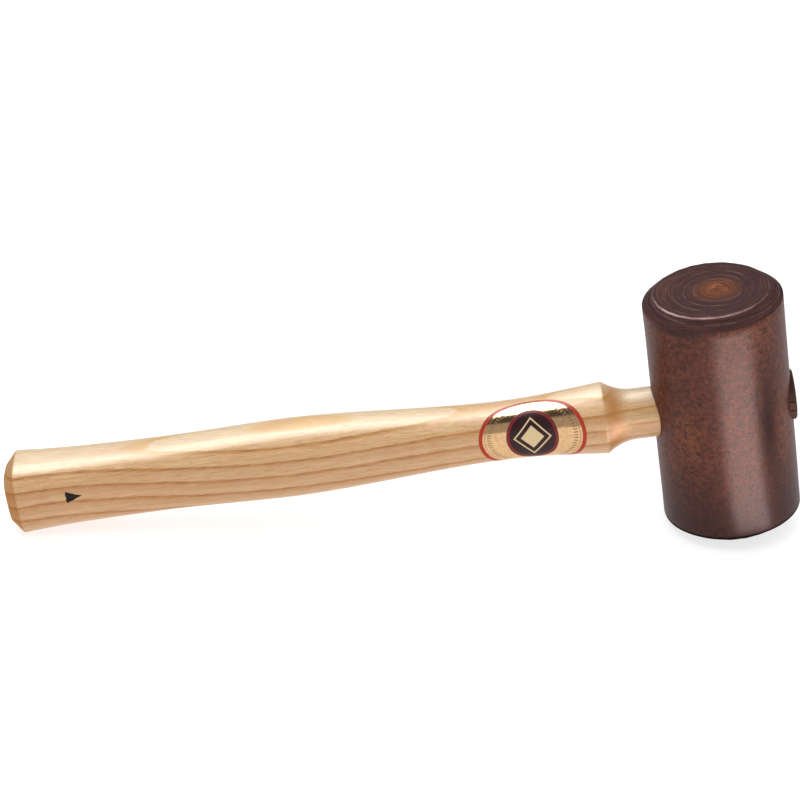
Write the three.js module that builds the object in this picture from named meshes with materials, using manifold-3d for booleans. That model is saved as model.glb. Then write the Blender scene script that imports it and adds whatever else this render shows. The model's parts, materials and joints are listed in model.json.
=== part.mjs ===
// Rawhide mallet: a striking head rolled from hide, bored across for an ash handle
// that is wedged at the far side. It lies as it does on a bench, on the lower edge of
// the head and the underside of the butt. Millimetres, +Z up.

import * as THREE from 'three';
import { mergeVertices } from 'three/addons/utils/BufferGeometryUtils.js';
import Module from 'manifold-3d';

// Head: a cylinder with a chamfer round each striking face
const HEAD_RADIUS = 25;
const HEAD_LENGTH = 92.8;
const CHAMFER_RISE = 3.8;
const CHAMFER_INSET = 4.7;

// Windings: a thin hide rolled up as the core, a thick one wound over it
const HIDE_TURN_COUNT = 6;
const HIDE_SKIVED_END = 0.9;
const CORE_RADIUS = 6.7;
const CORE_OFFSET = 2.1;
const CORE_EYE_RADIUS = 0.7;
const CORE_TURN_COUNT = 4;
const CORE_SKIVED_END = 0.6;
const TURN_GAP = 0.5;
const END_GAP = 0.8;
const SEAM_TURN_SHARE = 0.28;
const STEPS_PER_TURN_COUNT = 48;
const HEAD_SIDE_COUNT = 96;

// Handle: round tenon and neck, cove, shoulder, then an oval shaft to the butt
const TENON_RADIUS = 9.2;
const TENON_CLEARANCE = 0.3;
const TENON_PROUD = 0.9;
const TENON_EASE = 0.6;
const NECK_LENGTH = 7;
const COVE_LENGTH = 10.5;
const SHOULDER_DIAMETER = 25.5;
const SHOULDER_TO_WAIST = 37.5;
const WAIST_DEPTH = 20.4;
const WAIST_WIDTH = 19.2;
const WAIST_TO_SWELL = 77;
const SWELL_DEPTH = 27.2;
const SWELL_WIDTH = 23.2;
const SWELL_TO_GRIP = 46;
const GRIP_DEPTH = 25.2;
const GRIP_WIDTH = 22.4;
const GRIP_TO_BUTT = 54;
const BUTT_DEPTH = 27.2;
const BUTT_WIDTH = 25.8;
const BUTT_CHAMFER_LENGTH = 4.6;
const BUTT_CHAMFER_INSET = 4.3;
const HANDLE_SIDE_COUNT = 44;
const COVE_STEP_COUNT = 6;
const SHORT_BLEND_STEP_COUNT = 6;
const LONG_BLEND_STEP_COUNT = 9;

// Slopes of the handle's outline, as rise over run, and how square each section is
const SHOULDER_SLOPE_SHARE = 0.105;
const BUTT_SLOPE_SHARE = 0.067;
const SHOULDER_SQUARE_SHARE = 0.09;
const WAIST_SQUARE_SHARE = 0.23;
const SWELL_SQUARE_SHARE = 0.33;
const GRIP_SQUARE_SHARE = 0.33;
const BUTT_SQUARE_SHARE = 0.41;

// Wedge: driven into a saw cut across the tenon's end
const WEDGE_LENGTH = 19;
const WEDGE_HEAD_THICKNESS = 3.4;
const WEDGE_TIP_THICKNESS = 1;
const WEDGE_CLEARANCE = 0.3;
const KERF_RELIEF = 5;

// Every cutter runs past what it cuts by this much
const OVERRUN = 2;

const FULL_TURN = 2 * Math.PI;

const wasm = await Module();
wasm.setup();

// Solids for cutting and joining, and back again

function toSolid(geometry) {
  const bare = geometry.clone();
  bare.deleteAttribute('normal');
  bare.deleteAttribute('uv');
  const merged = mergeVertices(bare);
  const corners = merged.index.array;
  const kept = [];
  for (let i = 0; i < corners.length; i += 3) {
    const [a, b, c] = [corners[i], corners[i + 1], corners[i + 2]];
    if (a !== b && b !== c && c !== a) {
      kept.push(a, b, c);
    }
  }
  return new wasm.Manifold(new wasm.Mesh({
    numProp: 3,
    vertProperties: merged.attributes.position.array,
    triVerts: Uint32Array.from(kept),
  }));
}

function toGeometry(solid) {
  const { vertProperties, triVerts } = solid.getMesh();
  const geometry = new THREE.BufferGeometry();
  geometry.setAttribute('position', new THREE.BufferAttribute(vertProperties, 3));
  geometry.setIndex(new THREE.BufferAttribute(triVerts, 1));
  geometry.computeVertexNormals();
  return geometry;
}

function piece(name, geometry, material) {
  const mesh = new THREE.Mesh(geometry, new THREE.MeshStandardMaterial(material));
  mesh.name = name;
  return mesh;
}

// Windings

// The core lies off the head's axis, away from the handle, and each turn wound over it
// comes nearer to the axis, so that the last one is true
function drift(radius) {
  const share = (HEAD_RADIUS - radius) / (HEAD_RADIUS - CORE_RADIUS);
  return CORE_OFFSET * Math.max(0, Math.min(1, share));
}

// A strip rolled up flat, seen from its edge. The gap between one turn and the next is a
// spiral of even pitch. Inside it the first turn beds on a circle and outside it the last
// turn fills a circle, so both ends of the strip are skived down to a thin edge. Spare
// hide past that circle is there to be dressed off.
function rolledStrip({ inner, outer, turnCount, skivedEnd, spare }) {
  const last = turnCount - 1;
  const pitch = (outer - inner - 2 * skivedEnd - TURN_GAP) / last;
  const gapMiddle = (turn) => inner + skivedEnd + TURN_GAP / 2 + pitch * turn;
  const innerStep = END_GAP / inner / FULL_TURN;
  const outerStep = END_GAP / outer / FULL_TURN;
  const innerFace = (turn) => {
    const bedded = Math.max(0, Math.min(1, (1 - innerStep - turn) / innerStep));
    return THREE.MathUtils.lerp(gapMiddle(Math.max(0, turn - 1)) + TURN_GAP / 2, inner, bedded);
  };
  const outerFace = (turn) => {
    const filled = Math.max(0, Math.min(1, (turn - last - outerStep) / outerStep));
    return THREE.MathUtils.lerp(gapMiddle(Math.min(turn, last)) - TURN_GAP / 2, outer + spare, filled);
  };
  const turns = [];
  for (let step = 0; step <= turnCount * STEPS_PER_TURN_COUNT; step += 1) {
    turns.push(step / STEPS_PER_TURN_COUNT);
  }
  const withSteps = (...extra) => [...turns, ...extra].sort((a, b) => a - b);
  const at = (face) => (turn) => {
    const angle = (turn + SEAM_TURN_SHARE) * FULL_TURN;
    const radius = face(turn);
    return new THREE.Vector2(drift(radius) + radius * Math.cos(angle), radius * Math.sin(angle));
  };
  const insidePoints = withSteps(1 - 2 * innerStep, 1 - innerStep).map(at(innerFace));
  const outsidePoints = withSteps(last + outerStep, last + 2 * outerStep).map(at(outerFace));
  return { insidePoints, outsidePoints };
}

// The least distance between facing turns: each point of the outside to the next turn's inside
function leastGap({ insidePoints, outsidePoints }) {
  const nextTurn = STEPS_PER_TURN_COUNT / 2;
  const line = new THREE.Line3();
  const nearest = new THREE.Vector3();
  let least = Infinity;
  outsidePoints.forEach((point, index) => {
    const from = new THREE.Vector3(point.x, point.y, 0);
    for (let i = index + nextTurn; i < insidePoints.length - 1; i += 1) {
      line.start.set(insidePoints[i].x, insidePoints[i].y, 0);
      line.end.set(insidePoints[i + 1].x, insidePoints[i + 1].y, 0);
      line.closestPointToPoint(from, true, nearest);
      least = Math.min(least, nearest.distanceTo(from));
    }
  });
  return least;
}

function winding(name, sizes) {
  const strip = rolledStrip(sizes);
  console.log(`${name}: ${sizes.turnCount} turns, least gap ${leastGap(strip).toFixed(3)} mm`);
  const outline = new THREE.Shape([...strip.outsidePoints, ...strip.insidePoints.reverse()]);
  const depth = HEAD_LENGTH + 2 * OVERRUN;
  const roll = new THREE.ExtrudeGeometry(outline, { depth, bevelEnabled: false });
  roll.translate(0, 0, -depth / 2);
  return toSolid(roll);
}

// Head

// The dressed outside of the head, turned about its own axis
function headBlank() {
  const half = HEAD_LENGTH / 2;
  const profile = [
    new THREE.Vector2(0, -half),
    new THREE.Vector2(HEAD_RADIUS - CHAMFER_INSET, -half),
    new THREE.Vector2(HEAD_RADIUS, -half + CHAMFER_RISE),
    new THREE.Vector2(HEAD_RADIUS, half - CHAMFER_RISE),
    new THREE.Vector2(HEAD_RADIUS - CHAMFER_INSET, half),
    new THREE.Vector2(0, half),
  ];
  const blank = new THREE.LatheGeometry(profile, HEAD_SIDE_COUNT);
  blank.rotateX(Math.PI / 2);
  return toSolid(blank);
}

// The hole for the tenon, straight across the head
function crossBore() {
  const radius = TENON_RADIUS + TENON_CLEARANCE;
  const length = 2 * (HEAD_RADIUS + OVERRUN);
  const bore = new THREE.CylinderGeometry(radius, radius, length, HANDLE_SIDE_COUNT);
  bore.rotateZ(Math.PI / 2);
  return toSolid(bore);
}

function block(lowest, highest) {
  const size = highest.clone().sub(lowest);
  const box = new THREE.BoxGeometry(size.x, size.y, size.z);
  const middle = lowest.clone().add(highest).multiplyScalar(1 / 2);
  box.translate(middle.x, middle.y, middle.z);
  return toSolid(box);
}

function makeHead() {
  const bore = crossBore();
  const blank = headBlank();
  const hide = winding('hide_roll', {
    inner: CORE_RADIUS + TURN_GAP,
    outer: HEAD_RADIUS,
    turnCount: HIDE_TURN_COUNT,
    skivedEnd: HIDE_SKIVED_END,
    spare: OVERRUN,
  }).intersect(blank).subtract(bore);

  // The core is thinner than the bore, so boring it parts it in two
  const core = winding('core_roll', {
    inner: CORE_EYE_RADIUS,
    outer: CORE_RADIUS,
    turnCount: CORE_TURN_COUNT,
    skivedEnd: CORE_SKIVED_END,
    spare: 0,
  }).intersect(blank).subtract(bore);
  const reach = new THREE.Vector3(HEAD_RADIUS, HEAD_RADIUS, HEAD_LENGTH);
  const upperHalf = block(new THREE.Vector3(-reach.x, -reach.y, 0), reach);
  const upperCore = core.intersect(upperHalf);
  const lowerCore = core.subtract(upperHalf);

  const darkHide = { color: 0x4a2c24, roughness: 0.45, metalness: 0 };
  const paleHide = { color: 0x7a4426, roughness: 0.5, metalness: 0 };
  const head = new THREE.Group();
  head.add(piece('hide_roll', toGeometry(hide), darkHide));
  head.add(piece('core_upper', toGeometry(upperCore), paleHide));
  head.add(piece('core_lower', toGeometry(lowerCore), paleHide));
  return head;
}

// Handle

// Places along the handle, measured from the head's axis
const TENON_END = HEAD_RADIUS + TENON_PROUD;
const NECK_END = -HEAD_RADIUS - NECK_LENGTH;
const SHOULDER = NECK_END - COVE_LENGTH;
const WAIST = SHOULDER - SHOULDER_TO_WAIST;
const SWELL = WAIST - WAIST_TO_SWELL;
const GRIP = SWELL - SWELL_TO_GRIP;
const BUTT = GRIP - GRIP_TO_BUTT;
const BUTT_END = BUTT - BUTT_CHAMFER_LENGTH;

const roundSection = (x, radius) => ({ x, depth: 2 * radius, width: 2 * radius, squareShare: 0 });

// Sections from one to the other, the outline bending smoothly between its two end slopes,
// which are the rise of each side over the run towards the butt
function blend(from, to, stepCount, fromSlopeShare, toSlopeShare) {
  const run = (from.x - to.x) / 3;
  const ease = (start, end) => new THREE.CubicBezierCurve(
    new THREE.Vector2(from.x, start),
    new THREE.Vector2(from.x - run, start + 2 * run * fromSlopeShare),
    new THREE.Vector2(to.x + run, end - 2 * run * toSlopeShare),
    new THREE.Vector2(to.x, end),
  );
  const depth = ease(from.depth, to.depth);
  const width = ease(from.width, to.width);
  const sections = [];
  for (let step = 1; step <= stepCount; step += 1) {
    const share = step / stepCount;
    const squareShare = THREE.MathUtils.lerp(from.squareShare, to.squareShare, share);
    const { x, y } = depth.getPoint(share);
    sections.push({ x, depth: y, width: width.getPoint(share).y, squareShare });
  }
  return sections;
}

// The hollow between the neck and the shoulder is an arc that leaves the neck flush
function cove(neck, shoulder, stepCount) {
  const rise = (shoulder.depth - neck.depth) / 2;
  const run = neck.x - shoulder.x;
  const arcRadius = (run * run + rise * rise) / (2 * rise);
  const sections = [];
  for (let step = 1; step < stepCount; step += 1) {
    const share = step / stepCount;
    const along = run * share;
    const radius = neck.depth / 2 + arcRadius - Math.sqrt(arcRadius * arcRadius - along * along);
    const squareShare = shoulder.squareShare * share;
    sections.push({ ...roundSection(neck.x - along, radius), squareShare });
  }
  return sections;
}

function handleSections() {
  const shoulder = {
    x: SHOULDER, depth: SHOULDER_DIAMETER, width: SHOULDER_DIAMETER, squareShare: SHOULDER_SQUARE_SHARE,
  };
  const waist = { x: WAIST, depth: WAIST_DEPTH, width: WAIST_WIDTH, squareShare: WAIST_SQUARE_SHARE };
  const swell = { x: SWELL, depth: SWELL_DEPTH, width: SWELL_WIDTH, squareShare: SWELL_SQUARE_SHARE };
  const grip = { x: GRIP, depth: GRIP_DEPTH, width: GRIP_WIDTH, squareShare: GRIP_SQUARE_SHARE };
  const butt = { x: BUTT, depth: BUTT_DEPTH, width: BUTT_WIDTH, squareShare: BUTT_SQUARE_SHARE };
  const buttEnd = {
    x: BUTT_END,
    depth: BUTT_DEPTH - 2 * BUTT_CHAMFER_INSET,
    width: BUTT_WIDTH - 2 * BUTT_CHAMFER_INSET,
    squareShare: BUTT_SQUARE_SHARE,
  };
  const neck = roundSection(NECK_END, TENON_RADIUS);
  return [
    roundSection(TENON_END, TENON_RADIUS - TENON_EASE),
    roundSection(TENON_END - TENON_EASE, TENON_RADIUS),
    neck,
    ...cove(neck, shoulder, COVE_STEP_COUNT),
    shoulder,
    ...blend(shoulder, waist, SHORT_BLEND_STEP_COUNT, -SHOULDER_SLOPE_SHARE, 0),
    ...blend(waist, swell, LONG_BLEND_STEP_COUNT, 0, 0),
    ...blend(swell, grip, SHORT_BLEND_STEP_COUNT, 0, 0),
    ...blend(grip, butt, SHORT_BLEND_STEP_COUNT, 0, BUTT_SLOPE_SHARE),
    buttEnd,
  ];
}

// How far a section reaches towards a side, from an oval to nearly a box
function sectionReach({ depth, width, squareShare }, side, up) {
  const power = 2 / (1 - squareShare);
  const across = Math.abs(2 * side / width) ** power;
  const upright = Math.abs(2 * up / depth) ** power;
  return (across + upright) ** (-1 / power);
}

// A drum of unit radius whose rings are drawn out to the sections, from the butt forward
function loft(sections) {
  const spans = sections.length - 1;
  const drum = new THREE.CylinderGeometry(1, 1, spans, HANDLE_SIDE_COUNT, spans);
  const points = drum.attributes.position;
  for (let i = 0; i < points.count; i += 1) {
    const section = sections[Math.round(spans / 2 - points.getY(i))];
    const side = points.getX(i);
    const up = points.getZ(i);
    const onAxis = side === 0 && up === 0;
    const reach = onAxis ? 0 : sectionReach(section, side, up);
    points.setXYZ(i, section.x, side * reach, up * reach);
  }
  return drum;
}

// A flat tapered blade lying across the tenon, from its end inwards, from an outline of
// places along the handle and half thicknesses
function blade(outline) {
  const upper = outline.map(([x, half]) => new THREE.Vector2(x, half));
  const lower = outline.map(([x, half]) => new THREE.Vector2(x, -half)).reverse();
  const width = 2 * (TENON_RADIUS + OVERRUN);
  const shape = new THREE.Shape([...upper, ...lower]);
  const across = new THREE.ExtrudeGeometry(shape, { depth: width, bevelEnabled: false });
  across.rotateX(Math.PI / 2);
  across.translate(0, width / 2, 0);
  return toSolid(across);
}

function makeHandle() {
  const sections = handleSections().reverse();
  const wood = toSolid(loft(sections));
  const headHalf = WEDGE_HEAD_THICKNESS / 2;
  const tipHalf = WEDGE_TIP_THICKNESS / 2;
  const tip = TENON_END - WEDGE_LENGTH;
  const flare = (headHalf - tipHalf) / WEDGE_LENGTH;
  const wedge = blade([[tip, tipHalf], [TENON_END + OVERRUN, headHalf + flare * OVERRUN]]);
  const kerf = blade([
    [tip - KERF_RELIEF, tipHalf + WEDGE_CLEARANCE],
    [tip, tipHalf + WEDGE_CLEARANCE],
    [TENON_END + OVERRUN, headHalf + flare * OVERRUN + WEDGE_CLEARANCE],
  ]);
  const ash = { color: 0xd9b483, roughness: 0.5, metalness: 0 };
  const wedgeWood = { color: 0xa9754a, roughness: 0.6, metalness: 0 };
  const fitted = new THREE.Group();
  fitted.add(piece('handle', toGeometry(wood.subtract(kerf)), ash));
  fitted.add(piece('handle_wedge', toGeometry(wedge.intersect(wood)), wedgeWood));
  return fitted;
}

// Resting place

// It leans on two points: the lower face's edge on the handle's side, and the butt
function restingTilt() {
  const run = CHAMFER_INSET - HEAD_RADIUS - BUTT;
  const drop = (HEAD_LENGTH - BUTT_DEPTH) / 2;
  return -Math.atan2(drop, run);
}

const mallet = new THREE.Group();
mallet.add(makeHead());
mallet.add(makeHandle());
mallet.rotation.y = restingTilt();
mallet.updateMatrixWorld(true);

const box = new THREE.Box3().setFromObject(mallet, true);
const middle = box.getCenter(new THREE.Vector3());
mallet.position.set(-middle.x, -middle.y, -box.min.z);

export default mallet;
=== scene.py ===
# %% [markdown]
# # A rawhide mallet
#
# The object is a hand tool with few pieces: a head rolled up from strips of hide, an ash
# handle that goes through it, and a wedge that holds the two together. What makes it look
# real is the surface of each piece, so most of this lesson is about rolled leather edges,
# shellacked hide and the grain of ash.
#
# The first cell loads the finished construction model, which fixes every size and place.
# Everything made here is laid over it and never moves it.

# %% Load the frame
import json
import math

import bmesh
import bpy
from mathutils import Matrix, Vector, noise


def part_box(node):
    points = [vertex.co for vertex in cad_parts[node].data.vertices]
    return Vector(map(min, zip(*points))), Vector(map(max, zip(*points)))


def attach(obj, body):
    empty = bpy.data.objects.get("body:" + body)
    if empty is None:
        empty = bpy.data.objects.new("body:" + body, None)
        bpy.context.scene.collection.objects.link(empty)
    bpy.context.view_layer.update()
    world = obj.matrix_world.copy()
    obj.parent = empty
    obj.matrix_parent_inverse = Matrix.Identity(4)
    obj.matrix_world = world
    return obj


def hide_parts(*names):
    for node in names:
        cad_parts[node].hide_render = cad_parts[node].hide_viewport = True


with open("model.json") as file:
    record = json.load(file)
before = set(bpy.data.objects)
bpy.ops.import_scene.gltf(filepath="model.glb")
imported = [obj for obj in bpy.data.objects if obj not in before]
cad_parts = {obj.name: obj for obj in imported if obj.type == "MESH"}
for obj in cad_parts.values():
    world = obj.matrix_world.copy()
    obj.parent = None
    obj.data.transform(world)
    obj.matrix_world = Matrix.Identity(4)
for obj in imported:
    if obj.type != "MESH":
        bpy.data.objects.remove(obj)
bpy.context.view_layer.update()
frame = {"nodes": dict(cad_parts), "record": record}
scene = bpy.context.scene
print("frame:", sorted(frame["nodes"]))

# %% [markdown]
# ## The bench
#
# The mallet lies tilted, leaning on the edge of its head, and tilted shapes are awkward to
# draw. On a real bench the maker would clamp it square first. So every piece is drawn in
# millimetres on the mallet's own axes, with X along the handle, Z along the head and the
# eye of the head at the origin, and one matrix carries it to its place in metres. The
# matrix is read off the frame: the mounts give the two directions, and the box of the
# hide roll gives the eye.

# %% Bench axes and the sizes that the frame gives
MM = 0.001
mounts = {mount["name"]: mount for mount in frame["record"]["mounts"]}
head_axis = Vector(mounts["upper_striking_face"]["axis"]).normalized()
handle_axis = -Vector(mounts["butt_end"]["axis"]).normalized()
side_axis = head_axis.cross(handle_axis)
roll_low, roll_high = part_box("hide_roll")
EYE = (roll_low + roll_high) / 2
TURN = Matrix((handle_axis, side_axis, head_axis)).transposed().to_4x4()
BENCH = Matrix.Translation(EYE) @ TURN @ Matrix.Scale(MM, 4)


def on_bench(point):
    return BENCH.inverted() @ Vector(point)


HEAD_RADIUS = (roll_high.y - roll_low.y) / 2 / MM
FACE_Z = on_bench(mounts["upper_striking_face"]["pos_m"]).z
BUTT_X = on_bench(mounts["butt_end"]["pos_m"]).x
TILT = math.degrees(math.asin(handle_axis.z))
print(f"head {2 * HEAD_RADIUS:.1f} x {2 * FACE_Z:.1f} mm, butt at {BUTT_X:.1f} mm, tilt {TILT:.2f}")

# %% [markdown]
# ## Camera
#
# The camera stands a little over a metre away and looks down on the mallet. A long lens
# keeps the handle's two ends nearly the same scale, as in a catalogue picture. The place
# and the angles below come from fitting the head's two circles and the handle's outline.

# %% Camera
CAMERA_PLACE = Vector((-13.1, -910.0, 574.2)) * MM
CAMERA_DOWN = 29.91
CAMERA_LEFT = -0.75
CAMERA_ROLL = -0.03
LENS = 131.46
SENSOR_WIDTH = 36
NEAREST, FARTHEST = 0.05, 50

camera = bpy.data.objects.new("camera", bpy.data.cameras.new("camera"))
camera.data.lens = LENS
camera.data.sensor_width = SENSOR_WIDTH
camera.data.clip_start = NEAREST
camera.data.clip_end = FARTHEST
turn = Matrix.Rotation(math.radians(CAMERA_LEFT), 4, "Z")
nod = Matrix.Rotation(math.radians(90 - CAMERA_DOWN), 4, "X")
roll = Matrix.Rotation(math.radians(CAMERA_ROLL), 4, "Z")
camera.matrix_world = Matrix.Translation(CAMERA_PLACE) @ turn @ nod @ roll
scene.collection.objects.link(camera)
scene.camera = camera
print("camera", [round(c, 3) for c in camera.location])

# %% [markdown]
# ## Shader arithmetic
#
# Patterns are sums, and node trees hide sums well. The small class below wraps one socket
# of a material, so that a mask can be written as plain arithmetic and each operator adds
# the Math node that it stands for. Any other node comes from `add`, which sets the node up
# first and then fills its sockets with numbers or with other wires.


# %% Wires: sockets that can be added and multiplied
class Wire:
    """One socket in a material. Sums of wires and numbers become Math nodes."""

    def __init__(self, tree, socket=None):
        self.tree = tree
        self.socket = socket

    def add(self, kind, settings=None, sockets=None, out=0):
        """A new node, set up and then filled, as the wire of one of its outputs."""
        node = self.tree.nodes.new(kind)
        for name, value in (settings or {}).items():
            setattr(node, name, value)
        for key, value in (sockets or {}).items():
            if isinstance(value, Wire):
                self.tree.links.new(value.socket, node.inputs[key])
            else:
                node.inputs[key].default_value = value
        return Wire(self.tree, node.outputs[out]) if node.outputs else None

    def math(self, operation, *values):
        return self.add("ShaderNodeMath", {"operation": operation}, dict(enumerate(values)))

    def __add__(self, other):
        return self.math("ADD", self, other)

    def __radd__(self, other):
        return self.math("ADD", other, self)

    def __sub__(self, other):
        return self.math("SUBTRACT", self, other)

    def __rsub__(self, other):
        return self.math("SUBTRACT", other, self)

    def __mul__(self, other):
        return self.math("MULTIPLY", self, other)

    def __rmul__(self, other):
        return self.math("MULTIPLY", other, self)

    def __truediv__(self, other):
        return self.math("DIVIDE", self, other)

    def __rtruediv__(self, other):
        return self.math("DIVIDE", other, self)

    def __neg__(self):
        return self.math("MULTIPLY", self, -1)

    def absolute(self):
        return self.math("ABSOLUTE", self)

    def fraction(self):
        return self.math("FRACT", self)

    def most(self, other):
        return self.math("MAXIMUM", self, other)

    def rise(self, start, end, low=0, high=1):
        """Goes smoothly from low to high while this value goes from start to end."""
        values = dict(enumerate((self, start, end, low, high)))
        return self.add("ShaderNodeMapRange", {"interpolation_type": "SMOOTHSTEP"}, values)

    def near(self, middle, reach):
        """1 at the middle value, falling smoothly to 0 at a distance of reach from it."""
        return (self - middle).absolute().rise(reach, 0)

    def stretch(self, x, y, z):
        """A point with its three coordinates multiplied."""
        settings = {"operation": "MULTIPLY"}
        return self.add("ShaderNodeVectorMath", settings, {0: self, 1: (x, y, z)})

    def clouds(self, scale, detail, roughness):
        """Soft noise from 0 to 1, mostly about a half, read at this point."""
        sockets = {"Vector": self, "Scale": scale, "Detail": detail, "Roughness": roughness}
        return self.add("ShaderNodeTexNoise", None, sockets)

    def blend(self, low, high):
        """A colour between low and high, with this value as the share of high."""
        return self.add("ShaderNodeMix", {"data_type": "RGBA"}, {0: self, 6: low, 7: high}, 2)


def colour(red, green, blue):
    """A colour as a picture gives it, 0 to 255, in the linear values that light adds up in."""
    def linear(value):
        share = value / 255
        return share / 12.92 if share <= 0.04045 else ((share + 0.055) / 1.055) ** 2.4
    return (linear(red), linear(green), linear(blue), 1)


print("mid grey in linear light", [round(share, 3) for share in colour(128, 128, 128)])

# %% [markdown]
# A material starts with nothing but the point being shaded, and ends with one shader and
# its output. The Mapping node takes that point from the object's metres back to the
# bench's millimetres, so a pattern such as a growth ring is written in the same sizes as
# the piece itself. Relief is given in millimetres too: it is the height that a Bump node
# pretends the surface has where the pattern is lightest.

# %% Start and finish of a material
BENCH_ANGLES = tuple(TURN.to_euler())


def start_material(name):
    """A new material, and the wire of the point being shaded, in millimetres on the bench."""
    material = bpy.data.materials.new(name)
    material.use_nodes = True
    material.node_tree.nodes.clear()
    pen = Wire(material.node_tree)
    place = pen.add("ShaderNodeTexCoord", out="Object")
    point = pen.add("ShaderNodeMapping", {"vector_type": "TEXTURE"}, {
        "Vector": place, "Location": EYE, "Rotation": BENCH_ANGLES, "Scale": (MM, MM, MM),
    })
    return material, point


def finish_material(material, base, rough, height=None, relief=0, **shader_sockets):
    """Joins the colour, the roughness and the relief in millimetres to one shader."""
    pen = Wire(material.node_tree)
    sockets = {"Base Color": base, "Roughness": rough, **shader_sockets}
    if height is not None:
        bump = {"Height": height, "Distance": relief * MM, "Strength": 1.0}
        sockets["Normal"] = pen.add("ShaderNodeBump", None, bump)
    shader = pen.add("ShaderNodeBsdfPrincipled", None, sockets)
    pen.add("ShaderNodeOutputMaterial", None, {"Surface": shader})
    print(f"{material.name}: {len(material.node_tree.nodes)} nodes")
    return material


def split(point):
    """The three coordinates of a point as three wires."""
    outputs = point.add("ShaderNodeSeparateXYZ", None, {0: point}).socket.node.outputs
    return [Wire(point.tree, outputs[i]) for i in range(3)]


print("bench turned by", [round(math.degrees(angle), 2) for angle in BENCH_ANGLES], "degrees")

# %% [markdown]
# ## From a drawing to a piece
#
# A piece is drawn as a bmesh in millimetres. `set_down` turns it into an object: it carries the
# mesh to its place, leaves the object itself at the origin, gives it its material, smooths the
# shading except across sharp corners, hangs it on the body it rides on, and hides the parts of the
# frame that it replaces.

# %% Set a piece down
SHARP_ANGLE = 38


def to_object(name, form):
    mesh = bpy.data.meshes.new(name)
    form.to_mesh(mesh)
    form.free()
    made = bpy.data.objects.new(name, mesh)
    scene.collection.objects.link(made)
    return made


def set_down(name, form, material, slot, *replaced):
    form.transform(BENCH)
    made = to_object(name, form)
    made.data.materials.append(material)
    for face in made.data.polygons:
        face.use_smooth = True
    made.data.set_sharp_from_angle(angle=math.radians(SHARP_ANGLE))
    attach(made, "root")
    if replaced:
        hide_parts(*replaced)
    corners = made.bound_box[0], made.bound_box[6]
    low, high = ([round(c / MM, 1) for c in corner] for corner in corners)
    print(f"{name}: {len(made.data.polygons)} faces, {low} to {high} mm")


print("corners of more than", SHARP_ANGLE, "degrees stay sharp")

# %% [markdown]
# A bore and a saw cut are shapes of their own, taken away from a piece. `carve` cuts one
# drawing with another and keeps only the result. `block` and `rod` draw the two plain
# shapes that stock and cutters start from.

# %% Cut one piece with another
CUT_SOLVER = "MANIFOLD"


def carve(form, cutter, operation="DIFFERENCE"):
    """Cuts a closed bmesh with another one, or keeps what they share. Both are used up."""
    stock = to_object("stock", form)
    tool = to_object("tool", cutter)
    cut = stock.modifiers.new("cut", "BOOLEAN")
    cut.object = tool
    cut.operation = operation
    cut.solver = CUT_SOLVER
    bpy.context.view_layer.update()
    shaped = bmesh.new()
    shaped.from_object(stock, bpy.context.evaluated_depsgraph_get())
    for used in (stock, tool):
        mesh = used.data
        bpy.data.objects.remove(used)
        bpy.data.meshes.remove(mesh)
    return shaped


def block(form, low, high):
    """Adds a box between two corners."""
    for vert in bmesh.ops.create_cube(form, size=1)["verts"]:
        vert.co = Vector(h if c > 0 else l for c, l, h in zip(vert.co, low, high))


def rod(radius, start, end, sides):
    """A closed cylinder along X."""
    form = bmesh.new()
    along = Matrix.Translation(((start + end) / 2, 0, 0)) @ Matrix.Rotation(math.pi / 2, 4, "Y")
    bmesh.ops.create_cone(form, cap_ends=True, segments=sides, radius1=radius, radius2=radius,
                          depth=end - start, matrix=along)
    return form


print("pieces are cut with the", CUT_SOLVER.lower(), "solver")

# %% [markdown]
# ## The rolls of hide
#
# The head is two strips of hide, each rolled up like a bandage: a thin pale one for the
# core and a thick dark one over it. The real maker rolls them wet, glues and presses them,
# then turns the outside true and rasps a chamfer round each face. A stack of rings would
# look nearly right, but the line between the turns would never lead anywhere, so here a
# strip is really rolled. It starts as a block, is cut into fine steps with
# `subdivide_edges`, and then each vertex is carried from its place along, through and up
# the flat strip to its place in the roll.
#
# The roll isn't perfect. Each turn stands a little higher or lower than the next, its edge
# is rounded, the chamfer was filed by eye in short flats, and the core sits off centre.

# %% How a roll is laid out
CORE_RADIUS = 6.7
CORE_OFFSET = 2.1
CORE_EYE = 0.25
GLUE_LINE = 0.06
SEAM_TURN = 0.28
HIDE_TURNS, HIDE_GAP, HIDE_SKIVED = 6, 0.07, 0.6
CORE_TURNS, CORE_GAP, CORE_SKIVED = 4, 0.04, 0.3


def mix(low, high, share):
    return low + (high - low) * share


def clamp(value, low=0, high=1):
    return max(low, min(high, value))


def drift(radius):
    """The core lies off the axis, and each turn wound over it comes nearer to true."""
    return CORE_OFFSET * clamp((HEAD_RADIUS - radius) / (HEAD_RADIUS - CORE_RADIUS))


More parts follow.
